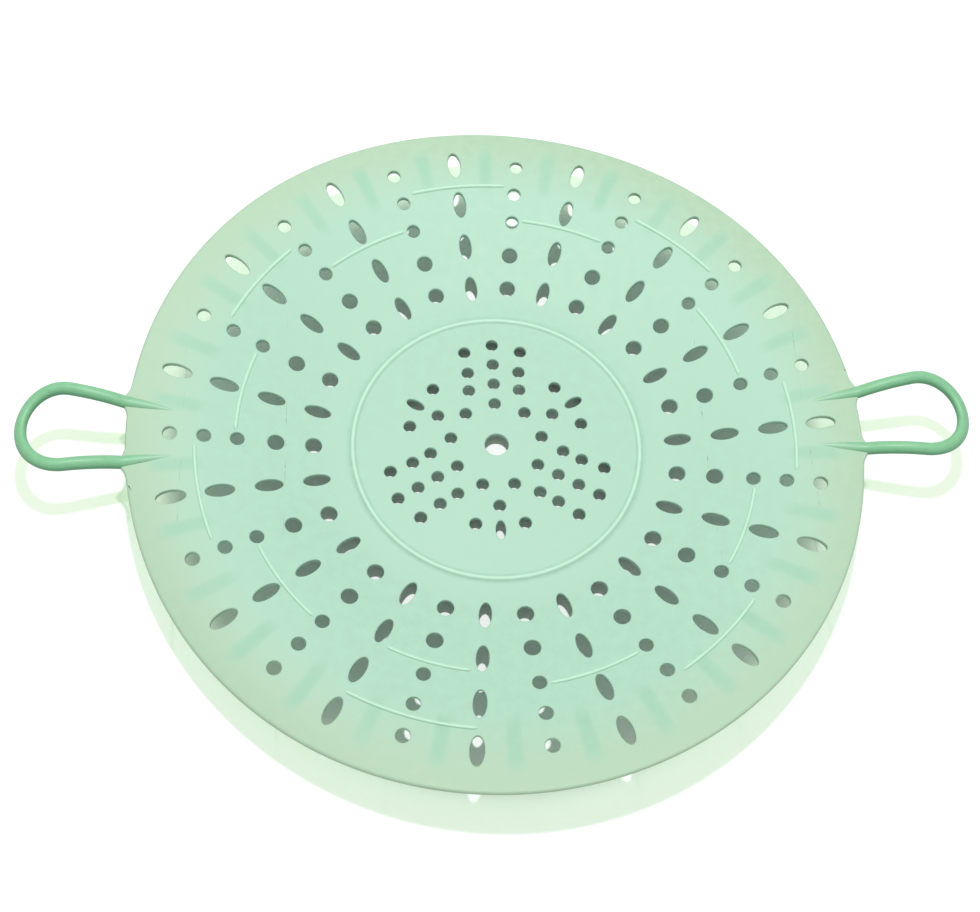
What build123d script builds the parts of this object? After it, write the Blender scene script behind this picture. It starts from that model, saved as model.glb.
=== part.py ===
from build123d import *
from math import asin, atan2, cos, hypot, radians, sin, tan
import os

# Swing-dry salad strainer: a perforated dish of soft silicone with a loop handle at each side.
# The two halves of the dish fold up along straight flex lines until the loops meet above the salad.
# X runs through both loops, Z is up, and the origin is the centre of the foot ring's lower face.

# ---- Driving sizes, millimetres and degrees ------------------------------------------------

# Dish
rim_radius = 125.5
floor_radius = 60.0
wall_angle = 15.0
sheet = 2.0
rim_chamfer = 0.6

# Foot ring and the raised ring above it
foot_ring_radius = 50.2
foot_ring_width = 3.0
foot_height = 4.0
foot_round = 0.8
ring_bead_width = 2.4
ring_bead_top_width = 1.2
ring_bead_height = 0.8

# Drain holes of the wall: columns of slots and columns of round holes take turns
columns = 15
slot_rings = ((63.7, 9.2, 4.2), (79.8, 9.4, 4.3), (96.0, 9.8, 4.5), (112.0, 10.0, 4.7))
hole_rings = ((63.6, 5.6), (76.3, 5.6), (89.1, 4.7), (100.0, 4.7), (111.1, 4.7))

# Drain holes of the floor: three fans of round holes, with a small cluster between each two
centre_hole = 8.3
floor_hole = 4.3
fans = 3
first_fan = 90.0
fan_spine_radii = (16.2, 24.2, 32.1, 40.1)
fan_side_rows = ((16.2, 40.0), (23.4, 22.6), (30.2, 17.6), (38.5, 15.2))
cluster_hole_radius = 23.4
cluster_pair = (31.2, 15.8)
cluster_slot_radius = 32.4
cluster_slot = (6.8, 3.4)

# Thin raised arcs on the wall: radius, middle and half span of each
bead_width = 1.3
bead_top_width = 0.6
bead_height = 0.6
outer_bead_radius = 102.9
outer_bead_middles = (0, 48, 96, 144, 192, 312)
inner_bead_radius = 89.8
inner_bead_middles = (24, 72, 120, 168, 216, 288, 336)
bead_half_span = 10.0
mark_beads = ((104.5, 252, 12.0), (84.5, 252, 9.7))

# Soft stiffening flutes under the wall, near the rim
flutes = 30
flute_inner_radius = 103.0
flute_outer_radius = 119.0
flute_taper = 5.0
flute_depth = 0.9
flute_span = 2.2

# Flex lines across the dish: where they lie, how high their axes are and how far each folds
inner_fold = 56.0
outer_fold = 90.0
fold_height = 15.0
fold_angle = 65.0
notch_relief = 1.5
floor_cut_radius = 57.0

# Loop handles
rod_radius = 2.2
leg_half_gap = 11.2
bow_radius = 14.0
loop_reach = 35.5
rib_length = 18.0
rib_tip_radius = 0.5
rib_lift = 0.3

# Space left between two pieces that move against each other
clearance = 0.3

# Volume in cubic millimetres under which a cut-off end of a bead or flute is left out
crumb = 2.0

# ---- Sizes that follow from the driving ones -------------------------------------------------

slope = tan(radians(wall_angle))
floor_top = foot_height + sheet
rim_top = floor_top + (rim_radius - floor_radius) * slope
pitch = 360 / columns
room = 2 * rim_radius
half_clearance = clearance / 2
floor_edge = inner_fold - half_clearance

loop_hinge_x = rim_radius + clearance + rod_radius
loop_height = rim_top - sheet / 2
bow_centre_x = rim_radius + loop_reach - bow_radius
leg_run = bow_centre_x - loop_hinge_x
leg_splay = asin(bow_radius / hypot(leg_run, leg_half_gap)) - atan2(leg_half_gap, leg_run)


def wall_top(radius):
    """Height of the wall's upper face at a distance from the centre."""
    return floor_top + (radius - floor_radius) * slope


def upright_plane(angle):
    """Plane through the Z axis, with its own X axis pointing outwards at the angle."""
    outward = (cos(radians(angle)), sin(radians(angle)), 0)
    sideways = (sin(radians(angle)), -cos(radians(angle)), 0)
    return Plane(origin=(0, 0, 0), x_dir=outward, z_dir=sideways)


def keep_between(low_x, high_x):
    """Keep what lies between two upright planes across the X axis."""
    with Locations(((low_x + high_x) / 2, 0, 0)):
        Box(high_x - low_x, 2 * room, 2 * room, mode=Mode.INTERSECT)


def open_notches():
    """Cut the notches that let the rim close up when the dish folds: one above each flex line."""
    lean = tan(radians(fold_angle / 2 + notch_relief))
    notch_top = rim_top + sheet
    for fold_x in (-outer_fold, -inner_fold, inner_fold, outer_fold):
        with BuildSketch(Plane.XZ.offset(-room)) as notch:
            with BuildLine():
                spread = half_clearance + (notch_top - fold_height) * lean
                Polyline(
                    (fold_x - half_clearance, fold_height),
                    (fold_x + half_clearance, fold_height),
                    (fold_x + spread, notch_top),
                    (fold_x - spread, notch_top),
                    close=True,
                )
            make_face()
        extrude(notch.sketch, amount=2 * room, mode=Mode.SUBTRACT)


def keep_side(direction):
    """Keep the front half (-1) or the back half (+1)."""
    with Locations((0, direction * room, 0)):
        Box(2 * room, 2 * room, 2 * room, mode=Mode.INTERSECT)


# ---- Whole forms, which the flex lines divide into pieces ------------------------------------

with BuildSketch() as drain_holes:
    Circle(centre_hole / 2)
    for ring_radius, slot_length, slot_width in slot_rings:
        with PolarLocations(ring_radius, columns):
            Ellipse(slot_length / 2, slot_width / 2)
    for ring_radius, hole in hole_rings:
        with PolarLocations(ring_radius, columns, start_angle=pitch / 2):
            Circle(hole / 2)
    for spine_radius in fan_spine_radii:
        with PolarLocations(spine_radius, fans, start_angle=first_fan):
            Circle(floor_hole / 2)
    for side_radius, side_angle in fan_side_rows:
        for side in (-side_angle, side_angle):
            with PolarLocations(side_radius, fans, start_angle=first_fan + side):
                Circle(floor_hole / 2)
    first_cluster = first_fan + 180 / fans
    with PolarLocations(cluster_hole_radius, fans, start_angle=first_cluster):
        Circle(floor_hole / 2)
    for side in (-cluster_pair[1], cluster_pair[1]):
        with PolarLocations(cluster_pair[0], fans, start_angle=first_cluster + side):
            Circle(floor_hole / 2)
    with PolarLocations(cluster_slot_radius, fans, start_angle=first_cluster):
        Ellipse(cluster_slot[0] / 2, cluster_slot[1] / 2)

with BuildPart() as dish:
    with BuildSketch(Plane.XZ) as dish_section:
        with BuildLine():
            Polyline(
                (0, foot_height),
                (floor_radius, foot_height),
                (rim_radius, rim_top - sheet),
                (rim_radius, rim_top),
                (floor_radius, floor_top),
                (0, floor_top),
                close=True,
            )
        make_face()
        chamfer(dish_section.vertices().group_by(Axis.X)[-1], rim_chamfer)
    revolve(axis=Axis.Z)
    extrude(drain_holes.sketch, amount=room, mode=Mode.SUBTRACT)
    open_notches()

bead_arcs = [(outer_bead_radius, middle, bead_half_span) for middle in outer_bead_middles]
bead_arcs += [(inner_bead_radius, middle, bead_half_span) for middle in inner_bead_middles]
bead_arcs += mark_beads

with BuildPart() as arc_beads:
    for arc_radius, middle, half_span in bead_arcs:
        with BuildSketch(upright_plane(middle - half_span)):
            with BuildLine():
                Polyline(
                    (arc_radius - bead_width / 2, wall_top(arc_radius - bead_width / 2)),
                    (arc_radius + bead_width / 2, wall_top(arc_radius + bead_width / 2)),
                    (arc_radius + bead_top_width / 2, wall_top(arc_radius) + bead_height),
                    (arc_radius - bead_top_width / 2, wall_top(arc_radius) + bead_height),
                    close=True,
                )
            make_face()
        revolve(axis=Axis.Z, revolution_arc=2 * half_span)
    open_notches()

with BuildPart() as under_flutes:
    for flute in range(flutes):
        flute_angle = (flute + 0.5) * 360 / flutes
        with BuildSketch(upright_plane(flute_angle - flute_span / 2)):
            with BuildLine():
                belly_start = flute_inner_radius + flute_taper
                belly_end = flute_outer_radius - flute_taper
                Polyline(
                    (flute_inner_radius, wall_top(flute_inner_radius) - sheet),
                    (flute_outer_radius, wall_top(flute_outer_radius) - sheet),
                    (belly_end, wall_top(belly_end) - sheet - flute_depth),
                    (belly_start, wall_top(belly_start) - sheet - flute_depth),
                    close=True,
                )
            make_face()
        revolve(axis=Axis.Z, revolution_arc=flute_span)
    open_notches()


def write_piece(piece, label):
    """Drop the crumbs that a flex line leaves of a bead or a flute, then write the piece to its own file."""
    kept = Compound([solid for solid in piece.part.solids() if solid.volume > crumb])
    kept.label = label
    export_step(kept, f"parts/{label}.step")


os.makedirs("parts", exist_ok=True)

# ---- Floor: the flat middle, its foot ring and its raised ring -------------------------------

with BuildPart() as floor_panel:
    add(dish.part)
    keep_between(-floor_edge, floor_edge)
    Cylinder(floor_cut_radius, room, mode=Mode.INTERSECT)
write_piece(floor_panel, "floor_panel")

with BuildPart() as foot_ring:
    with BuildSketch():
        Circle(foot_ring_radius + foot_ring_width / 2)
        Circle(foot_ring_radius - foot_ring_width / 2, mode=Mode.SUBTRACT)
    extrude(amount=foot_height)
    fillet(foot_ring.faces().sort_by(Axis.Z)[0].edges(), foot_round)
write_piece(foot_ring, "foot_ring")

with BuildPart() as ring_bead:
    with BuildSketch(Plane.XZ):
        with BuildLine():
            Polyline(
                (foot_ring_radius - ring_bead_width / 2, floor_top),
                (foot_ring_radius + ring_bead_width / 2, floor_top),
                (foot_ring_radius + ring_bead_top_width / 2, floor_top + ring_bead_height),
                (foot_ring_radius - ring_bead_top_width / 2, floor_top + ring_bead_height),
                close=True,
            )
        make_face()
    revolve(axis=Axis.Z)
write_piece(ring_bead, "ring_bead")

# ---- Front and back wall, which stay with the floor ------------------------------------------

for wall_name, direction in (("front_wall", -1), ("back_wall", 1)):
    with BuildPart() as wall:
        add(dish.part)
        keep_between(-floor_edge, floor_edge)
        keep_side(direction)
        Cylinder(floor_cut_radius, room, mode=Mode.SUBTRACT)
    write_piece(wall, wall_name)

    with BuildPart() as wall_beads:
        add(arc_beads.part)
        keep_between(-floor_edge, floor_edge)
        keep_side(direction)
    write_piece(wall_beads, f"{wall_name}_beads")

    with BuildPart() as wall_flutes:
        add(under_flutes.part)
        keep_between(-floor_edge, floor_edge)
        keep_side(direction)
    write_piece(wall_flutes, f"{wall_name}_flutes")

# ---- Wings: each half of the dish beyond the floor folds in two steps ------------------------

wing_spans = (
    ("inner", inner_fold + half_clearance, outer_fold - half_clearance),
    ("outer", outer_fold + half_clearance, room),
)
sides = (("left", -1), ("right", 1))

for side_name, side in sides:
    for wing_name, near, far in wing_spans:
        low_x = min(side * near, side * far)
        high_x = max(side * near, side * far)
        for whole, suffix in ((dish, "wing"), (arc_beads, "beads"), (under_flutes, "flutes")):
            with BuildPart() as wing_piece:
                add(whole.part)
                keep_between(low_x, high_x)
            write_piece(wing_piece, f"{side_name}_{wing_name}_{suffix}")

# ---- Loop handles, and the ribs that carry their pull into the wall --------------------------

for side_name, side in sides:
    with BuildPart() as loop:
        tangent_x = bow_centre_x - bow_radius * sin(leg_splay)
        tangent_y = bow_radius * cos(leg_splay)
        with BuildLine(Plane.XY.offset(loop_height)) as loop_path:
            back_root = (side * loop_hinge_x, leg_half_gap)
            front_root = (side * loop_hinge_x, -leg_half_gap)
            tip = (side * (bow_centre_x + bow_radius), 0)
            Line(back_root, (side * tangent_x, tangent_y))
            ThreePointArc((side * tangent_x, tangent_y), tip, (side * tangent_x, -tangent_y))
            Line((side * tangent_x, -tangent_y), front_root)
        with BuildSketch(Plane(origin=loop_path.line @ 0, z_dir=loop_path.line % 0)):
            Circle(rod_radius)
        sweep()
        with Locations((*back_root, loop_height), (*front_root, loop_height)):
            Sphere(rod_radius)
    write_piece(loop, f"{side_name}_loop")

    with BuildPart() as handle_ribs:
        for leg in (-1, 1):
            root_x = rim_radius - rod_radius
            root_y = leg_half_gap - (loop_hinge_x - root_x) * tan(leg_splay)
            end_x = root_x - rib_length * cos(leg_splay)
            end_y = root_y - rib_length * sin(leg_splay)
            root_z = wall_top(hypot(root_x, root_y)) + rib_lift
            end_z = wall_top(hypot(end_x, end_y)) + rib_lift
            along = Vector(side * (end_x - root_x), leg * (end_y - root_y), end_z - root_z)
            with BuildSketch(Plane(origin=(side * root_x, leg * root_y, root_z), z_dir=along)):
                Circle(rod_radius)
            with BuildSketch(Plane(origin=(side * end_x, leg * end_y, end_z), z_dir=along)):
                Circle(rib_tip_radius)
            loft()
        add(dish.part, mode=Mode.SUBTRACT)
        with BuildSketch(Plane.XY):
            Circle(rim_radius)
        extrude(amount=loop_height - sheet, mode=Mode.SUBTRACT)
    write_piece(handle_ribs, f"{side_name}_handle_ribs")
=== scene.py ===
from math import asin, atan2, cos, degrees, hypot, pi, radians, sin, sqrt, tan

import bmesh
import bpy
from mathutils import Matrix, Vector


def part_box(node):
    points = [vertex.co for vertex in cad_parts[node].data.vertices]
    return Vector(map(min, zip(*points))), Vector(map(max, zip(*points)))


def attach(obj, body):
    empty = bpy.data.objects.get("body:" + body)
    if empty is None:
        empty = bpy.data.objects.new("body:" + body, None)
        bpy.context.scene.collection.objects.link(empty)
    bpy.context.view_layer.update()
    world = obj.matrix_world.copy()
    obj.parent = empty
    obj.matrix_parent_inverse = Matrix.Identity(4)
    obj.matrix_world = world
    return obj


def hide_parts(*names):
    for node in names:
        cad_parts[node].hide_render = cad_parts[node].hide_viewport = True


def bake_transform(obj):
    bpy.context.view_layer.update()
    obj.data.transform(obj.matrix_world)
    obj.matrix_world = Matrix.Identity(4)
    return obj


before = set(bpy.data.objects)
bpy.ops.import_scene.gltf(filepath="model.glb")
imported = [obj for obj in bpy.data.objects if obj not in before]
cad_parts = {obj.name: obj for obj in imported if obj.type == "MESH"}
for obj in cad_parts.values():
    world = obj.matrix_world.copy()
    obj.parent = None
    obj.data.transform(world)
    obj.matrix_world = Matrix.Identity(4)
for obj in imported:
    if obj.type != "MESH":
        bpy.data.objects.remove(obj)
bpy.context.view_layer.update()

# ==== Sheet of the dish, laid out flat =======================================================
# The dish is one sheet of soft silicone, two millimetres thick. Its wall is drained by columns of
# slots and of round holes that take turns, and its floor by three fans of small round holes.
# It is laid out flat first, because every hole runs straight through it, along the mould's draw.

mm = 0.001
floor_low, floor_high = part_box("floor_panel")
rim_radius = -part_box("front_wall")[0].y
sheet_thickness = floor_high.z - floor_low.z
floor_top = floor_high.z

columns = 15
slot_rows = ((63.7, 9.2, 4.2), (79.8, 9.4, 4.3), (96.0, 9.8, 4.5), (112.0, 10.0, 4.7))
hole_rows = ((63.6, 5.6), (76.3, 5.6), (89.1, 4.7), (100.0, 4.7), (111.1, 4.7))
hole_border = 0.5 * mm
hole_room = 0.35 * mm

grid_radius = 48.3 * mm
ring_bead_section = (
    (49.0, 0.0), (49.4, 0.34), (49.8, 0.68), (50.2, 0.8), (50.6, 0.68), (51.0, 0.34), (51.4, 0.0),
)
wall_rings = 50


def edit(piece):
    """Open a piece for work on its mesh, with nothing selected."""
    bpy.ops.object.select_all(action="DESELECT")
    piece.select_set(True)
    bpy.context.view_layer.objects.active = piece
    bpy.ops.object.mode_set(mode="EDIT")
    bpy.ops.mesh.select_mode(type="VERT")
    bpy.ops.mesh.select_all(action="DESELECT")


def select_vertices(piece, wanted):
    """In edit mode, select the vertices whose place the test accepts."""
    bpy.ops.mesh.select_mode(type="VERT")
    bpy.ops.mesh.select_all(action="DESELECT")
    mesh = bmesh.from_edit_mesh(piece.data)
    for vertex in mesh.verts:
        vertex.select = wanted(vertex.co)
    mesh.select_flush(True)
    bmesh.update_edit_mesh(piece.data)


def select_edges(piece, wanted):
    """In edit mode, select the edges that the test accepts."""
    bpy.ops.mesh.select_mode(type="EDGE")
    bpy.ops.mesh.select_all(action="DESELECT")
    mesh = bmesh.from_edit_mesh(piece.data)
    for edge in mesh.edges:
        edge.select = wanted(edge)
    bmesh.update_edit_mesh(piece.data)


def open_edge(edge):
    """An edge that a gap in the sheet ends at, where the gap is still to be closed."""
    return edge.is_boundary and not edge.seam


def cut_hole(piece, x, y, half_length, half_width, turn=0.0):
    """Set one hole into the flat sheet: clear room, draw its edge and a narrow border, fill up to that."""
    along = Vector((cos(turn), sin(turn), 0))
    across = Vector((-sin(turn), cos(turn), 0))
    centre = Vector((x, y, 0))
    clear_length = half_length + hole_border + hole_room
    clear_width = half_width + hole_border + hole_room

    def in_room(place):
        offset = place - centre
        return hypot(offset.dot(along) / clear_length, offset.dot(across) / clear_width) < 1

    select_vertices(piece, in_room)
    bpy.ops.mesh.delete(type="VERT")
    bpy.ops.mesh.select_all(action="SELECT")
    bpy.ops.mesh.delete_loose(use_verts=True, use_edges=True, use_faces=False)
    bpy.ops.mesh.select_all(action="DESELECT")
    bpy.ops.mesh.primitive_circle_add(vertices=28, radius=1, location=centre)
    bpy.ops.mesh.mark_seam()
    for border in (0, hole_border):
        if border:
            bpy.ops.mesh.extrude_edges_indiv()
            bpy.ops.mesh.mark_seam(clear=True)
        mesh = bmesh.from_edit_mesh(piece.data)
        ring = [vertex for vertex in mesh.verts if vertex.select]
        for vertex in ring:
            offset = vertex.co - centre
            across_part = offset.dot(across) / (half_width if border else 1)
            along_part = offset.dot(along) / (half_length if border else 1)
            way = atan2(across_part, along_part)
            edge_along = along * (half_length + border) * cos(way)
            edge_across = across * (half_width + border) * sin(way)
            vertex.co = centre + edge_along + edge_across
        bmesh.update_edit_mesh(piece.data)
    select_edges(piece, open_edge)
    bpy.ops.mesh.fill(use_beauty=True)


# One column of slots and one of round holes, as a wedge of rings. The wall is fifteen such wedges.
pitch = 360 / columns
bpy.ops.object.select_all(action="DESELECT")
bpy.ops.mesh.primitive_circle_add(vertices=360, radius=grid_radius)
sheet = bpy.context.object
sheet.name = "dish_sheet"
edit(sheet)
wedge_start, wedge_end = -pitch / 4 - 0.1, 3 * pitch / 4 + 0.1
select_vertices(sheet, lambda place: not wedge_start < degrees(atan2(place.y, place.x)) < wedge_end)
bpy.ops.mesh.delete(type="VERT")
last_bead_radius = ring_bead_section[-1][0] * mm
ring_radii = [radius * mm for radius, lift in ring_bead_section]
wall_width = rim_radius - last_bead_radius
ring_radii += [last_bead_radius + wall_width * ring / wall_rings for ring in range(1, wall_rings + 1)]
bpy.ops.mesh.select_all(action="SELECT")
reached = grid_radius
for radius in ring_radii:
    bpy.ops.mesh.extrude_edges_indiv()
    bpy.ops.transform.resize(value=(radius / reached, radius / reached, 1), center_override=(0, 0, 0))
    reached = radius
select_edges(sheet, lambda edge: edge.is_boundary)
bpy.ops.mesh.mark_seam()
for ring_radius, slot_length, slot_width in slot_rows:
    cut_hole(sheet, ring_radius * mm, 0, slot_length * mm / 2, slot_width * mm / 2)
for ring_radius, hole in hole_rows:
    half_pitch = radians(pitch / 2)
    hole_x = ring_radius * mm * cos(half_pitch)
    hole_y = ring_radius * mm * sin(half_pitch)
    cut_hole(sheet, hole_x, hole_y, hole * mm / 2, hole * mm / 2)
bpy.ops.mesh.select_all(action="SELECT")
bpy.ops.mesh.spin(steps=columns - 1, dupli=True, angle=radians(360 - pitch), center=(0, 0, 0), axis=(0, 0, 1))
bpy.ops.mesh.select_all(action="SELECT")
bpy.ops.mesh.remove_doubles(threshold=0.02 * mm)
select_edges(sheet, lambda edge: edge.is_boundary and edge.verts[0].co.length < grid_radius + 0.1 * mm)
bpy.ops.mesh.mark_seam(clear=True)
bpy.ops.object.mode_set(mode="OBJECT")

# The flat floor: an even mesh, with the centre hole, three fans and the small clusters between them.
centre_hole = 8.3
floor_hole = 4.3
fan_headings = (90, 210, 330)
spine_radii = (16.2, 24.2, 32.1, 40.1)
side_rows = ((16.2, 40.0), (23.4, 22.6), (30.2, 17.6), (38.5, 15.2))
cluster_headings = (30, 150, 270)
cluster_rows = ((23.4, 0), (31.2, -15.8), (31.2, 15.8))
cluster_slot_radius, cluster_slot_length, cluster_slot_width = 32.4, 6.8, 3.4
floor_cells = 50

bpy.ops.object.select_all(action="DESELECT")
bpy.ops.mesh.primitive_grid_add(x_subdivisions=floor_cells, y_subdivisions=floor_cells, size=2 * grid_radius)
floor_mesh = bpy.context.object
edit(floor_mesh)
select_vertices(floor_mesh, lambda place: place.length > grid_radius - 1.2 * mm)
bpy.ops.mesh.delete(type="VERT")
select_edges(floor_mesh, lambda edge: edge.is_boundary)
bpy.ops.mesh.mark_seam()
floor_holes = [(radius, fan + 0) for fan in fan_headings for radius in spine_radii]
floor_holes += [
    (radius, fan + side * swing) for fan in fan_headings for radius, swing in side_rows for side in (-1, 1)
]
floor_holes += [(radius, cluster + swing) for cluster in cluster_headings for radius, swing in cluster_rows]
cut_hole(floor_mesh, 0, 0, centre_hole * mm / 2, centre_hole * mm / 2)
for radius, heading in floor_holes:
    way = radians(heading)
    hole_x = radius * mm * cos(way)
    hole_y = radius * mm * sin(way)
    cut_hole(floor_mesh, hole_x, hole_y, floor_hole * mm / 2, floor_hole * mm / 2)
for heading in cluster_headings:
    way = radians(heading)
    slot_x = cluster_slot_radius * mm * cos(way)
    slot_y = cluster_slot_radius * mm * sin(way)
    cut_hole(floor_mesh, slot_x, slot_y, cluster_slot_length * mm / 2, cluster_slot_width * mm / 2, way)
select_edges(floor_mesh, lambda edge: edge.is_boundary and edge.verts[0].co.length > grid_radius - 4 * mm)
bpy.ops.mesh.mark_seam(clear=True)
bpy.ops.object.mode_set(mode="OBJECT")

bpy.ops.object.select_all(action="DESELECT")
floor_mesh.select_set(True)
sheet.select_set(True)
bpy.context.view_layer.objects.active = sheet
bpy.ops.object.join()
edit(sheet)
select_edges(sheet, open_edge)
bpy.ops.mesh.fill(use_beauty=True)

# The flat sheet gets its thickness, straight down, and every cut edge is rounded as the mould leaves it.
hole_rounding = 0.4 * mm
bpy.ops.mesh.select_all(action="SELECT")
bpy.ops.mesh.mark_seam(clear=True)
bpy.ops.mesh.extrude_region_move(TRANSFORM_OT_translate={"value": (0, 0, -sheet_thickness)})
bpy.ops.mesh.select_all(action="SELECT")
bpy.ops.mesh.normals_make_consistent(inside=False)


def sharp_edge(edge):
    """A square edge round a hole or round the rim."""
    return len(edge.link_faces) == 2 and edge.calc_face_angle() > radians(60)


def at_rim(edge):
    return edge.verts[0].co.to_2d().length > rim_radius - 0.1 * mm


select_edges(sheet, lambda edge: sharp_edge(edge) and not at_rim(edge))
bpy.ops.mesh.bevel(offset=hole_rounding, segments=3, affect="EDGES")

# ==== Raised ring, flutes and raised arcs ====================================================
# All three are moulded in one with the sheet: a soft ring round the floor, thirty shallow flutes
# under the wall that stiffen it towards the rim, and thin arcs that break up the wet leaves' grip.

ring_middle = ring_bead_section[3][0] * mm
flute_count = 30
flute_start, flute_end = 101.0 * mm, 120.0 * mm
flute_depth = 0.9 * mm
flute_half_width = 2.6
skin = sheet_thickness / 4

mesh = bmesh.from_edit_mesh(sheet.data)
for vertex in mesh.verts:
    radius = vertex.co.to_2d().length
    heading = degrees(atan2(vertex.co.y, vertex.co.x))
    if vertex.co.z > -skin:
        for bead_radius, lift in ring_bead_section:
            if abs(radius - bead_radius * mm) < 0.05 * mm:
                vertex.co.z += lift * mm
    elif vertex.co.z < skin - sheet_thickness and flute_start < radius < flute_end:
        offset = (heading - 180 / flute_count) % (360 / flute_count)
        offset = min(offset, 360 / flute_count - offset)
        if offset < flute_half_width:
            belly = sin(pi * (radius - flute_start) / (flute_end - flute_start))
            vertex.co.z -= flute_depth * belly * cos(pi / 2 * offset / flute_half_width) ** 2
bmesh.update_edit_mesh(sheet.data)
bpy.ops.object.mode_set(mode="OBJECT")

arc_half_width = 0.65 * mm
arc_half_span = 10.0
outer_arc_radius, outer_arcs = 102.9, (0, 48, 96, 144, 192, 312)
inner_arc_radius, inner_arcs = 89.8, (24, 72, 120, 168, 216, 288, 336)
front_arcs = ((104.5, 252, 12.0), (84.5, 252, 9.7))
arcs = [(outer_arc_radius, middle, arc_half_span) for middle in outer_arcs]
arcs += [(inner_arc_radius, middle, arc_half_span) for middle in inner_arcs]
arcs += front_arcs
arc_steps = 40
arc_end = 1.2

arc_pieces = []
for arc_radius, middle, half_span in arcs:
    bpy.ops.object.select_all(action="DESELECT")
    start = radians(middle - half_span)
    place = (arc_radius * mm * cos(start), arc_radius * mm * sin(start), 0)
    upright = (pi / 2, 0, start)
    bpy.ops.mesh.primitive_circle_add(vertices=12, radius=arc_half_width, location=place, rotation=upright)
    arc = bpy.context.object
    bpy.ops.object.transform_apply(location=True, rotation=True, scale=True)
    edit(arc)
    bpy.ops.mesh.select_all(action="SELECT")
    bpy.ops.mesh.spin(steps=arc_steps, angle=-radians(2 * half_span), center=(0, 0, 0), axis=(0, 0, 1))
    mesh = bmesh.from_edit_mesh(arc.data)
    for vertex in mesh.verts:
        heading = degrees(atan2(vertex.co.y, vertex.co.x)) - middle
        heading = (heading + 180) % 360 - 180
        from_end = max(0.0, half_span - abs(heading))
        fullness = sqrt(max(0.0004, 1 - (1 - min(1, from_end / arc_end)) ** 2))
        radius = vertex.co.to_2d().length
        squeezed = arc_radius * mm + (radius - arc_radius * mm) * fullness
        vertex.co.x *= squeezed / radius
        vertex.co.y *= squeezed / radius
        vertex.co.z *= fullness
    bmesh.update_edit_mesh(arc.data)
    bpy.ops.mesh.select_all(action="DESELECT")
    bpy.ops.mesh.select_non_manifold()
    bpy.ops.mesh.edge_face_add()
    bpy.ops.mesh.select_all(action="SELECT")
    bpy.ops.mesh.normals_make_consistent(inside=False)
    bpy.ops.object.mode_set(mode="OBJECT")
    raised_mark = arc.data.attributes.new("raised", "FLOAT", "POINT")
    raised_mark.data.foreach_set("value", [1.0] * len(arc.data.vertices))
    arc_pieces.append(arc)

# ==== Rim ====================================================================================
# The edge of the sheet is rounded over, and it runs out in a small web on both sides of each
# handle leg, which takes the leg's pull without tearing.

leg_gap = 11.2 * mm
web_reach = 3.4 * mm
web_half_width = 6.2 * mm
rim_rounding = 0.85 * mm

edit(sheet)
select_vertices(sheet, lambda place: abs(place.x) > rim_radius - 7.4 * mm and abs(place.y) < leg_gap + 9 * mm)
bpy.ops.mesh.subdivide(number_cuts=2)
mesh = bmesh.from_edit_mesh(sheet.data)
for vertex in mesh.verts:
    outward = vertex.co.to_2d().length
    from_leg = abs(abs(vertex.co.y) - leg_gap) / web_half_width
    if abs(vertex.co.x) > rim_radius * 0.8 and from_leg < 1:
        share = max(0.0, 1 - (rim_radius - outward) / (6 * mm))
        vertex.co.x += (1 if vertex.co.x > 0 else -1) * web_reach * (1 - from_leg) ** 2 * share
bmesh.update_edit_mesh(sheet.data)
select_edges(sheet, sharp_edge)
bpy.ops.mesh.bevel(offset=rim_rounding, segments=4, affect="EDGES")
bpy.ops.object.mode_set(mode="OBJECT")

# ==== Pressing the sheet into a dish =========================================================
# The floor stays flat, the wall rises from a soft knee and droops a little towards the rim. The
# rim has warped as soft mouldings do: into a slight saddle, with a three-lobed ripple over it.

floor_radius = 60 * mm
knee = 7 * mm
wall_slope = tan(radians(15))
droop_start = 98 * mm
droop = 2.9 * mm
wave_start = 74 * mm
saddle_depth = 2.5 * mm
saddle_crest = radians(-45)
ripple_depth = 1.5 * mm
ripple_crest = radians(30)


def dish_height(x, y):
    """How far the sheet's upper face stands above the floor of the dish."""
    radius = min(hypot(x, y), rim_radius + 4 * mm)
    heading = atan2(y, x)
    past = radius - floor_radius
    rise = wall_slope * (past + sqrt(past ** 2 + knee ** 2)) / 2
    rise -= wall_slope * (sqrt(floor_radius ** 2 + knee ** 2) - floor_radius) / 2
    rise -= droop * (max(0.0, radius - droop_start) / (rim_radius - droop_start)) ** 2
    wave = saddle_depth * cos(2 * (heading - saddle_crest)) + ripple_depth * cos(3 * (heading - ripple_crest))
    return rise + wave * (max(0.0, radius - wave_start) / (rim_radius - wave_start)) ** 2


for piece in (sheet, *arc_pieces):
    for vertex in piece.data.vertices:
        vertex.co.z += floor_top + dish_height(vertex.co.x, vertex.co.y)

# ==== Silicone of the dish ===================================================================
# Mint silicone with a dry, faintly grainy skin. It lets some light through, so the shadow beneath it is a
# pale green.
# The greener streaks over the thin flutes and the paler rim, which that light would give, are painted into
# its colour.


def lay_pattern(piece):
    """Give a piece a UV map that is its plan, seen from above, so that a pattern stays on it as it bends."""
    plan = piece.data.uv_layers.new(name="plan")
    for loop in piece.data.loops:
        place = piece.data.vertices[loop.vertex_index].co
        plan.data[loop.index].uv = (place.x / plan_size + 0.5, place.y / plan_size + 0.5)


plan_size = 0.4


def add_node(material, kind, **settings):
    """Add one shader node, with its settings and the values of its named inputs."""
    node = material.node_tree.nodes.new(kind)
    for name, value in settings.items():
        if name in node.bl_rna.properties:
            setattr(node, name, value)
        else:
            numbered = name[0] == "i" and name[1:].isdigit()
            entry = int(name[1:]) if numbered else name.replace("_", " ")
            node.inputs[entry].default_value = value
    return node


def colour(red, green, blue):
    """A colour as a screen shows it, as the linear values that a shader takes."""
    return [((part / 255 + 0.055) / 1.055) ** 2.4 for part in (red, green, blue)] + [1.0]


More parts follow.
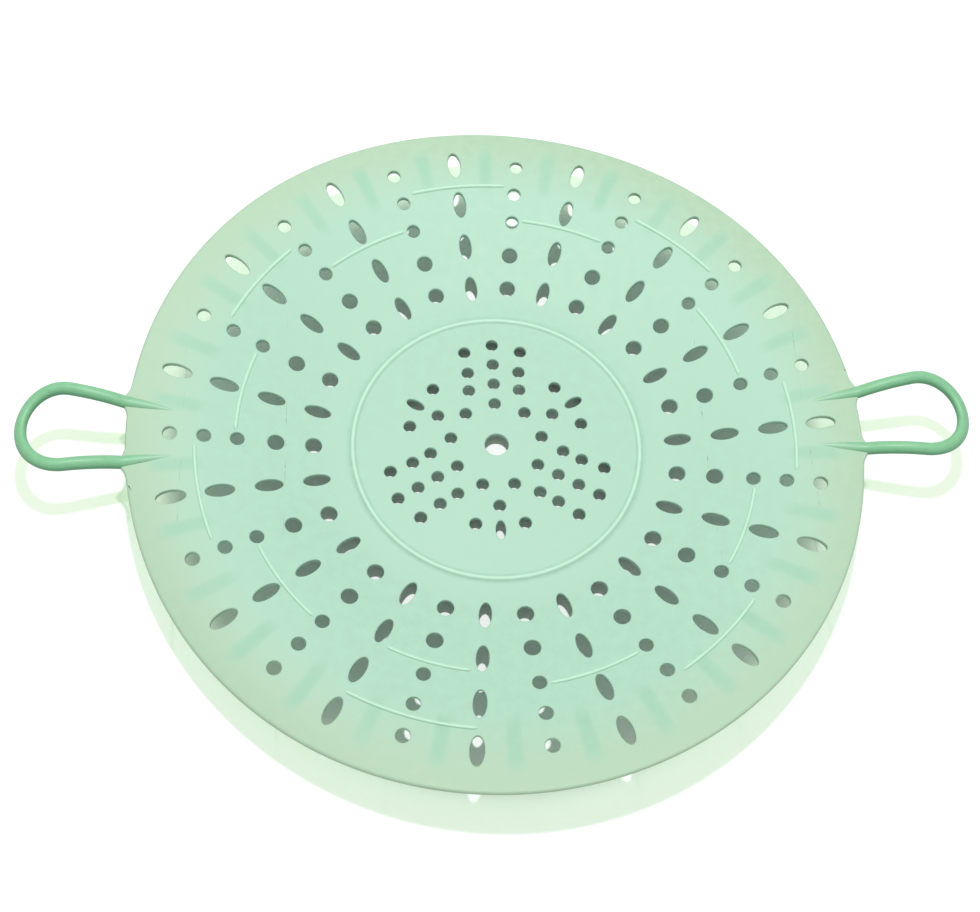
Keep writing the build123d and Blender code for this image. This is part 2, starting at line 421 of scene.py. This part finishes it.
def new_silicone(name):
    material = bpy.data.materials.new(name)
    material.use_nodes = True
    material.node_tree.nodes.clear()
    return material


def plain_step(material, **limits):
    """A value that goes evenly from one limit to the other."""
    return add_node(material, "ShaderNodeMapRange", **limits)


def soft_step(material, **limits):
    """A share that goes softly from one limit to the other."""
    return add_node(material, "ShaderNodeMapRange", interpolation_type="SMOOTHSTEP", **limits)


def join_nodes(material, start, end, output=0):
    """Lead one node's output into another's input."""
    node, entry = end
    material.node_tree.links.new(start.outputs[output], node.inputs[entry])


silicone = new_silicone("mint_silicone")
plan = add_node(silicone, "ShaderNodeUVMap", uv_map="plan")
place = add_node(silicone, "ShaderNodeMapping")
place.inputs["Location"].default_value = (-200, -200, 0)
place.inputs["Scale"].default_value = (400, 400, 400)
join_nodes(silicone, plan, (place, "Vector"))
distance = add_node(silicone, "ShaderNodeVectorMath", operation="LENGTH")
join_nodes(silicone, place, (distance, 0))
parts = add_node(silicone, "ShaderNodeSeparateXYZ")
join_nodes(silicone, place, (parts, 0))
heading = add_node(silicone, "ShaderNodeMath", operation="ARCTAN2")
join_nodes(silicone, parts, (heading, 0), 1)
join_nodes(silicone, parts, (heading, 1), 0)

# Painted streaks where the flutes are, darker and greener where less light shines through the thicker sheet,
# fading in from the wall and out before the rim
turns = add_node(silicone, "ShaderNodeMath", operation="MULTIPLY_ADD", i1=float(flute_count), i2=pi)
join_nodes(silicone, heading, (turns, 0))
ripple = add_node(silicone, "ShaderNodeMath", operation="COSINE")
join_nodes(silicone, turns, (ripple, 0))
streak = soft_step(silicone, From_Min=0.62, From_Max=1.0)
join_nodes(silicone, ripple, (streak, "Value"))
fade_in = soft_step(silicone, From_Min=98.0, From_Max=105.0)
join_nodes(silicone, distance, (fade_in, "Value"), 1)
fade_out = soft_step(silicone, From_Min=114.0, From_Max=121.0, To_Min=1.0, To_Max=0.0)
join_nodes(silicone, distance, (fade_out, "Value"), 1)
streak_band = add_node(silicone, "ShaderNodeMath", operation="MULTIPLY")
join_nodes(silicone, fade_in, (streak_band, 0))
join_nodes(silicone, fade_out, (streak_band, 1))
uneven = add_node(silicone, "ShaderNodeTexNoise", Scale=0.035, Detail=2.0, Roughness=0.5)
join_nodes(silicone, place, (uneven, "Vector"))
uneven_share = plain_step(silicone, From_Min=0.3, From_Max=0.7, To_Min=0.6, To_Max=1.0)
join_nodes(silicone, uneven, (uneven_share, "Value"))
streak_uneven = add_node(silicone, "ShaderNodeMath", operation="MULTIPLY")
join_nodes(silicone, streak, (streak_uneven, 0))
join_nodes(silicone, uneven_share, (streak_uneven, 1))
painted_streaks = add_node(silicone, "ShaderNodeMath", operation="MULTIPLY")
join_nodes(silicone, streak_uneven, (painted_streaks, 0))
join_nodes(silicone, streak_band, (painted_streaks, 1))

# Colour: mint inside, with painted light shining through: paler and yellower towards the thin rim, greener in
# the streaks where the flutes thicken the sheet
to_rim = soft_step(silicone, From_Min=96.0, From_Max=124.0)
join_nodes(silicone, distance, (to_rim, "Value"), 1)
mint_and_painted_rim_light = add_node(silicone, "ShaderNodeMix", data_type="RGBA")
mint_and_painted_rim_light.inputs[6].default_value = colour(164, 203, 180)
mint_and_painted_rim_light.inputs[7].default_value = colour(167, 197, 168)
join_nodes(silicone, to_rim, (mint_and_painted_rim_light, 0))
painted_streak_colour = add_node(silicone, "ShaderNodeMix", data_type="RGBA")
painted_streak_colour.inputs[7].default_value = colour(150, 195, 168)
join_nodes(silicone, painted_streaks, (painted_streak_colour, 0))
join_nodes(silicone, mint_and_painted_rim_light, (painted_streak_colour, 6), 2)
# Painted highlight: the tops of the raised ring and arcs are painted a little paler, as if lit
raised = add_node(silicone, "ShaderNodeAttribute", attribute_name="raised")
ring_side = add_node(silicone, "ShaderNodeMath", operation="SUBTRACT", i1=ring_middle / mm)
join_nodes(silicone, distance, (ring_side, 0), 1)
ring_away = add_node(silicone, "ShaderNodeMath", operation="ABSOLUTE")
join_nodes(silicone, ring_side, (ring_away, 0))
ring_top = soft_step(silicone, From_Min=0.3, From_Max=0.9, To_Min=1.0, To_Max=0.0)
join_nodes(silicone, ring_away, (ring_top, "Value"))
painted_highlight_share = add_node(silicone, "ShaderNodeMath", operation="MAXIMUM")
join_nodes(silicone, raised, (painted_highlight_share, 0), 2)
join_nodes(silicone, ring_top, (painted_highlight_share, 1))
painted_highlight_colour = add_node(silicone, "ShaderNodeMix", data_type="RGBA")
painted_highlight_colour.inputs[7].default_value = colour(184, 222, 197)
join_nodes(silicone, painted_highlight_share, (painted_highlight_colour, 0))
join_nodes(silicone, painted_streak_colour, (painted_highlight_colour, 6), 2)
mottle = add_node(silicone, "ShaderNodeTexNoise", Scale=0.25, Detail=4.0, Roughness=0.6)
join_nodes(silicone, place, (mottle, "Vector"))
mottle_value = plain_step(silicone, From_Min=0.3, From_Max=0.7, To_Min=0.965, To_Max=1.035)
join_nodes(silicone, mottle, (mottle_value, "Value"))
mottled = add_node(silicone, "ShaderNodeHueSaturation")
join_nodes(silicone, painted_highlight_colour, (mottled, "Color"), 2)
join_nodes(silicone, mottle_value, (mottled, "Value"))

# Skin: dry and faintly grainy, from the mould's fine texture
grain = add_node(silicone, "ShaderNodeTexNoise", Scale=1.6, Detail=3.0, Roughness=0.6)
join_nodes(silicone, place, (grain, "Vector"))
skin_bump = add_node(silicone, "ShaderNodeBump", Strength=0.12, Distance=0.00012)
join_nodes(silicone, grain, (skin_bump, "Height"))
skin_roughness = plain_step(silicone, From_Min=0.3, From_Max=0.7, To_Min=0.46, To_Max=0.6)
join_nodes(silicone, mottle, (skin_roughness, "Value"))
silicone_skin = add_node(silicone, "ShaderNodeBsdfPrincipled", IOR=1.41)
join_nodes(silicone, mottled, (silicone_skin, "Base Color"))
join_nodes(silicone, skin_roughness, (silicone_skin, "Roughness"))
join_nodes(silicone, skin_bump, (silicone_skin, "Normal"))

# The light that gets through: little in the thick middle, more in the stretched rim
passing = soft_step(silicone, From_Min=102.0, From_Max=118.0)
join_nodes(silicone, distance, (passing, "Value"), 1)
passed_colour = add_node(silicone, "ShaderNodeMix", data_type="RGBA")
passed_colour.inputs[6].default_value = (0.01, 0.02, 0.01, 1)
passed_colour.inputs[7].default_value = (0.77, 0.87, 0.75, 1)
join_nodes(silicone, passing, (passed_colour, 0))
passed_light = add_node(silicone, "ShaderNodeBsdfTransparent")
join_nodes(silicone, passed_colour, (passed_light, "Color"), 2)
ray = add_node(silicone, "ShaderNodeLightPath")
through = add_node(silicone, "ShaderNodeMixShader")
silicone.node_tree.links.new(ray.outputs["Is Shadow Ray"], through.inputs[0])
join_nodes(silicone, silicone_skin, (through, 1))
join_nodes(silicone, passed_light, (through, 2))
silicone_out = add_node(silicone, "ShaderNodeOutputMaterial")
join_nodes(silicone, through, (silicone_out, "Surface"))


def smooth(piece):
    """Shade a piece as the soft, rounded moulding that it is."""
    bpy.ops.object.select_all(action="DESELECT")
    piece.select_set(True)
    bpy.context.view_layer.objects.active = piece
    bpy.ops.object.shade_smooth_by_angle(angle=radians(50))


# ==== Dish, divided where it flexes ==========================================================
# The moulding is one piece, but it flexes along four lines across it. So it is cut into spans along them: the
# middle rides on the dish's floor and each rim end on its outer wing; the spans between, where it would bend,
# are only cut out and left in place.

inner_fold = 56 * mm
outer_fold = 90 * mm
bend_reach = 17 * mm


def take_span(name, low_x, high_x):
    """Copy the stretch of the dish between two upright planes, closed where it is cut."""
    cut_pieces = []
    for source in (sheet, *arc_pieces):
        reach_x = [vertex.co.x for vertex in source.data.vertices]
        if max(reach_x) < low_x or min(reach_x) > high_x:
            continue
        piece = source.copy()
        piece.data = source.data.copy()
        bpy.context.scene.collection.objects.link(piece)
        edit(piece)
        for cut_x, way in ((low_x, -1), (high_x, 1)):
            if min(reach_x) < cut_x < max(reach_x):
                bpy.ops.mesh.select_all(action="SELECT")
                bpy.ops.mesh.bisect(plane_co=(cut_x, 0, 0), plane_no=(way, 0, 0), clear_outer=True)
                select_edges(piece, lambda edge: edge.is_boundary)
                bpy.ops.mesh.fill_holes(sides=0)
        bpy.ops.object.mode_set(mode="OBJECT")
        cut_pieces.append(piece)
    bpy.ops.object.select_all(action="DESELECT")
    for piece in cut_pieces:
        piece.select_set(True)
    span = cut_pieces[0]
    bpy.context.view_layer.objects.active = span
    bpy.ops.object.join()
    span.name = name
    span.data.name = name
    lay_pattern(span)
    span.data.materials.clear()
    span.data.materials.append(silicone)
    smooth(span)
    return span


middle = take_span("dish_middle", bend_reach - inner_fold, inner_fold - bend_reach)
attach(middle, "dish_floor")
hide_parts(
    "floor_panel", "ring_bead", "front_wall", "back_wall",
    "front_wall_beads", "back_wall_beads", "front_wall_flutes", "back_wall_flutes",
)
for side_name, side in (("left", -1), ("right", 1)):
    span_ends = (inner_fold - bend_reach, inner_fold + bend_reach, outer_fold + bend_reach, 2 * rim_radius)
    edges = [side * span_end for span_end in span_ends]
    wing_bodies = ("dish_floor", f"{side_name}_inner_wing", f"{side_name}_outer_wing")
    inner = take_span(f"{side_name}_inner_bend", min(edges[:2]), max(edges[:2]))
    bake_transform(inner)
    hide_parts(f"{side_name}_inner_wing", f"{side_name}_inner_beads", f"{side_name}_inner_flutes")
    outer = take_span(f"{side_name}_outer_bend", min(edges[1:3]), max(edges[1:3]))
    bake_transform(outer)
    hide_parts(f"{side_name}_outer_wing", f"{side_name}_outer_beads")
    end = take_span(f"{side_name}_rim_end", min(edges[2:]), max(edges[2:]))
    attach(end, wing_bodies[2])
    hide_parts(f"{side_name}_outer_flutes")
for piece in (sheet, *arc_pieces):
    bpy.data.objects.remove(piece)

# ==== Foot ring ==============================================================================
# A plain ring under the floor, moulded in one with it, that the dish stands on.

ring_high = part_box("foot_ring")[1]
foot_radius = ring_high.x - 1.5 * mm
foot_half_width = 1.5 * mm
foot_rounding = 0.8 * mm
foot_sunk = 0.3 * mm

bpy.ops.object.select_all(action="DESELECT")
bpy.ops.mesh.primitive_circle_add(vertices=240, radius=foot_radius - foot_half_width, location=(0, 0, 0))
foot = bpy.context.object
foot.name = "foot_ring_moulding"
edit(foot)
bpy.ops.mesh.select_all(action="SELECT")
widening = (foot_radius + foot_half_width) / (foot_radius - foot_half_width)
bpy.ops.mesh.extrude_edges_indiv()
bpy.ops.transform.resize(value=(widening, widening, 1), center_override=(0, 0, 0))
bpy.ops.mesh.select_all(action="SELECT")
bpy.ops.mesh.extrude_region_move(TRANSFORM_OT_translate={"value": (0, 0, ring_high.z + foot_sunk)})
bpy.ops.mesh.select_all(action="SELECT")
bpy.ops.mesh.normals_make_consistent(inside=False)
select_edges(foot, lambda edge: sharp_edge(edge) and edge.verts[0].co.z < 0.1 * mm)
bpy.ops.mesh.bevel(offset=foot_rounding, segments=4, affect="EDGES")
bpy.ops.object.mode_set(mode="OBJECT")
lay_pattern(foot)
foot.data.materials.append(silicone)
smooth(foot)
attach(foot, "dish_floor")
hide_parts("foot_ring")

# ==== Loop handles ===========================================================================
# Each handle is a thin round loop of the same silicone. Its two legs run in over the wall as
# ribs that taper away, and flex where they leave the rim.

rod_radius = (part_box("right_loop")[1].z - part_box("right_loop")[0].z) / 2
loop_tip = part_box("right_loop")[1].x - rod_radius
bow_radius = 14 * mm
bow_centre = loop_tip - bow_radius
leg_run = bow_centre - rim_radius - 2.5 * mm
leg_splay = asin(bow_radius / hypot(leg_run, leg_gap)) - atan2(leg_gap, leg_run)
leg_turn = pi / 2 + leg_splay
tip_height = 17.9 * mm
loop_bulge = 3.6 * mm
left_short = 1.8 * mm
rod_sides = 20
# Along a leg: how far out, the rod's radius there, and how far its middle is above the sheet
leg_stations = (
    (146, 2.2, -1.0), (142, 2.2, -1.0), (138, 2.2, -1.0), (134, 2.2, -1.0),
    (131.5, 2.2, -1.0), (129.5, 2.2, -1.0), (127.5, 2.2, -1.0), (125.5, 2.15, -1.0),
    (123, 2, -0.95), (120, 1.8, -0.95), (117, 1.5, -0.9), (114, 1.15, -0.85),
    (111, 0.8, -0.7), (108.5, 0.4, -0.5),
)

handle_silicone = new_silicone("green_handle_silicone")
handle_plan = add_node(handle_silicone, "ShaderNodeUVMap", uv_map="plan")
handle_place = add_node(handle_silicone, "ShaderNodeMapping")
handle_place.inputs["Location"].default_value = (-200, -200, 0)
handle_place.inputs["Scale"].default_value = (400, 400, 400)
join_nodes(handle_silicone, handle_plan, (handle_place, "Vector"))
handle_distance = add_node(handle_silicone, "ShaderNodeVectorMath", operation="LENGTH")
join_nodes(handle_silicone, handle_place, (handle_distance, 0))
# Painted shade: the rod is coloured darker green where its surface faces sideways or down, as if shaded
# beneath; its top keeps the lighter green
facing = add_node(handle_silicone, "ShaderNodeNewGeometry")
facing_parts = add_node(handle_silicone, "ShaderNodeSeparateXYZ")
join_nodes(handle_silicone, facing, (facing_parts, 0), 1)
painted_underside_shade = soft_step(handle_silicone, From_Min=0.9, From_Max=-0.1)
join_nodes(handle_silicone, facing_parts, (painted_underside_shade, "Value"), 2)
rod_colour_painted_shade = add_node(handle_silicone, "ShaderNodeMix", data_type="RGBA")
rod_colour_painted_shade.inputs[6].default_value = colour(128, 188, 143)
rod_colour_painted_shade.inputs[7].default_value = colour(84, 150, 106)
join_nodes(handle_silicone, painted_underside_shade, (rod_colour_painted_shade, 0))
root_share = soft_step(handle_silicone, From_Min=106.0, From_Max=130.0)
join_nodes(handle_silicone, handle_distance, (root_share, "Value"), 1)
root_colour = add_node(handle_silicone, "ShaderNodeMix", data_type="RGBA")
root_colour.inputs[6].default_value = colour(160, 198, 172)
join_nodes(handle_silicone, root_share, (root_colour, 0))
join_nodes(handle_silicone, rod_colour_painted_shade, (root_colour, 7), 2)
handle_mottle = add_node(handle_silicone, "ShaderNodeTexNoise", Scale=0.3, Detail=4.0, Roughness=0.6)
join_nodes(handle_silicone, handle_place, (handle_mottle, "Vector"))
handle_value = plain_step(handle_silicone, From_Min=0.3, From_Max=0.7, To_Min=0.94, To_Max=1.06)
join_nodes(handle_silicone, handle_mottle, (handle_value, "Value"))
handle_mottled = add_node(handle_silicone, "ShaderNodeHueSaturation")
join_nodes(handle_silicone, root_colour, (handle_mottled, "Color"), 2)
join_nodes(handle_silicone, handle_value, (handle_mottled, "Value"))
handle_roughness = plain_step(handle_silicone, From_Min=0.3, From_Max=0.7, To_Min=0.38, To_Max=0.5)
join_nodes(handle_silicone, handle_mottle, (handle_roughness, "Value"))
handle_grain = add_node(handle_silicone, "ShaderNodeTexNoise", Scale=1.6, Detail=3.0, Roughness=0.6)
join_nodes(handle_silicone, handle_place, (handle_grain, "Vector"))
handle_bump = add_node(handle_silicone, "ShaderNodeBump", Strength=0.1, Distance=0.00012)
join_nodes(handle_silicone, handle_grain, (handle_bump, "Height"))
handle_skin = add_node(handle_silicone, "ShaderNodeBsdfPrincipled", IOR=1.41)
join_nodes(handle_silicone, handle_mottled, (handle_skin, "Base Color"))
join_nodes(handle_silicone, handle_roughness, (handle_skin, "Roughness"))
join_nodes(handle_silicone, handle_bump, (handle_skin, "Normal"))
handle_light = add_node(handle_silicone, "ShaderNodeBsdfTransparent", Color=(0.80, 0.89, 0.74, 1))
handle_ray = add_node(handle_silicone, "ShaderNodeLightPath")
handle_through = add_node(handle_silicone, "ShaderNodeMixShader")
handle_silicone.node_tree.links.new(handle_ray.outputs["Is Shadow Ray"], handle_through.inputs[0])
join_nodes(handle_silicone, handle_skin, (handle_through, 1))
join_nodes(handle_silicone, handle_light, (handle_through, 2))
handle_out = add_node(handle_silicone, "ShaderNodeOutputMaterial")
join_nodes(handle_silicone, handle_through, (handle_out, "Surface"))

bpy.ops.object.select_all(action="DESELECT")
bow_start = (bow_centre + bow_radius * cos(leg_turn), bow_radius * sin(leg_turn), 0)
across_leg = (0, pi / 2, leg_splay)
bpy.ops.mesh.primitive_circle_add(
    vertices=rod_sides, radius=rod_radius, location=bow_start, rotation=across_leg,
)
rod = bpy.context.object
bpy.ops.object.transform_apply(location=True, rotation=True, scale=True)
edit(rod)
bpy.ops.mesh.select_all(action="SELECT")
bpy.ops.mesh.spin(steps=44, angle=2 * leg_turn, center=(bow_centre, 0, 0), axis=(0, 0, 1))
for leg in (-1, 1):
    reached = Vector((bow_start[0], leg * bow_start[1], 0))

    def at_bow_end(place):
        offset = place - reached
        past_end = offset.x * cos(leg_splay) + leg * offset.y * sin(leg_splay)
        return offset.length < rod_radius * 1.02 and abs(past_end) < 0.05 * mm

    select_vertices(rod, at_bow_end)
    for station_x, station_radius, _ in leg_stations:
        if station_x * mm > bow_start[0]:
            continue
        ring_y = bow_start[1] - (bow_start[0] - station_x * mm) * tan(leg_splay)
        middle_of_ring = Vector((station_x * mm, leg * ring_y, 0))
        bpy.ops.mesh.extrude_edges_indiv()
        mesh = bmesh.from_edit_mesh(rod.data)
        for vertex in mesh.verts:
            if vertex.select:
                spoke = vertex.co - reached
                vertex.co = middle_of_ring + spoke * (station_radius * mm / spoke.length)
        bmesh.update_edit_mesh(rod.data)
        reached = middle_of_ring
    bpy.ops.mesh.edge_face_add()
mesh = bmesh.from_edit_mesh(rod.data)
stations = [(bow_centre / mm + 99, 2.2, -1.0)] + list(leg_stations)
for vertex in mesh.verts:
    x = vertex.co.x / mm
    outer = min((station for station in stations if station[0] >= x - 0.9), key=lambda station: station[0])
    vertex.co.z += outer[2] * mm
bmesh.update_edit_mesh(rod.data)
bpy.ops.mesh.select_all(action="SELECT")
bpy.ops.mesh.normals_make_consistent(inside=False)
bpy.ops.object.mode_set(mode="OBJECT")

for side_name, side in (("left", -1), ("right", 1)):
    loop = rod.copy()
    loop.data = rod.data.copy()
    loop.name = f"{side_name}_handle_loop"
    loop.data.name = loop.name
    bpy.context.scene.collection.objects.link(loop)
    for vertex in loop.data.vertices:
        if side < 0 and vertex.co.x > rim_radius:
            vertex.co.x -= left_short * (vertex.co.x - rim_radius) / (loop_tip - rim_radius)
        vertex.co.x *= side
        along = max(0.0, (abs(vertex.co.x) - rim_radius) / (loop_tip - rim_radius))
        root_x = side * min(abs(vertex.co.x), rim_radius)
        base = dish_height(root_x, vertex.co.y)
        bulge = 4 * loop_bulge * along * (1 - along)
        vertex.co.z += floor_top + base * (1 - along) + tip_height * along + bulge
    edit(loop)
    bpy.ops.mesh.select_all(action="SELECT")
    bpy.ops.mesh.normals_make_consistent(inside=False)
    bpy.ops.object.mode_set(mode="OBJECT")
    lay_pattern(loop)
    loop.data.materials.append(handle_silicone)
    smooth(loop)
    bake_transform(loop)
    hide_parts(f"{side_name}_loop", f"{side_name}_handle_ribs")
bpy.data.objects.remove(rod)

# ==== Table, light and camera ================================================================
# A plain white table, a small lamp high above and towards the back, and an even pale surround.
# The camera looks down on the dish from the front, a little from its left, and is tipped
# slightly to one side.

table_size = 3.0
bpy.ops.object.select_all(action="DESELECT")
bpy.ops.mesh.primitive_plane_add(size=table_size)
table = bpy.context.object
table.name = "table_top"
white = bpy.data.materials.new("white_table")
white.use_nodes = True
white_skin = white.node_tree.nodes["Principled BSDF"]
white_skin.inputs["Roughness"].default_value = 0.9
white_skin.inputs["Specular IOR Level"].default_value = 0.0
table_noise = add_node(white, "ShaderNodeTexNoise", Scale=60.0)
table_place = add_node(white, "ShaderNodeTexCoord")
join_nodes(white, table_place, (table_noise, "Vector"), 3)
table_value = plain_step(white, To_Min=0.93, To_Max=0.95)
join_nodes(white, table_noise, (table_value, "Value"))
join_nodes(white, table_value, (white_skin, "Base Color"))
table.data.materials.append(white)

lamp_height = 0.75
lamp_lean = radians(10)
bpy.ops.object.light_add(type="POINT", location=(0, lamp_height * tan(lamp_lean), lamp_height))
lamp = bpy.context.object
lamp.data.energy = 17.4
lamp.data.shadow_soft_size = 0.016

surround = bpy.data.worlds.new("white_surround")
bpy.context.scene.world = surround
surround.use_nodes = True
surround.node_tree.nodes["Background"].inputs["Color"].default_value = (1.0, 0.985, 1.0, 1)
surround.node_tree.nodes["Background"].inputs["Strength"].default_value = 0.5
bpy.context.scene.view_settings.view_transform = "Standard"

camera_rise = radians(63.305)
camera_turn = radians(-8.6)
camera_tip = radians(6.744)
camera_distance = 0.49765
target = Vector((0, 0, floor_top))
reach = Vector((sin(camera_turn) * cos(camera_rise), -cos(camera_turn) * cos(camera_rise), sin(camera_rise)))
bpy.ops.object.camera_add(location=target + reach * camera_distance)
camera = bpy.context.object
camera_place = Matrix.Translation(target + reach * camera_distance)
camera_aim = reach.to_track_quat("Z", "Y").to_matrix().to_4x4()
camera.matrix_world = camera_place @ camera_aim @ Matrix.Rotation(camera_tip, 4, "Z")
camera.data.lens = 52.24
camera.data.sensor_width = 36
camera.data.shift_x = -0.00685
camera.data.shift_y = -0.0119
bpy.context.scene.camera = camera
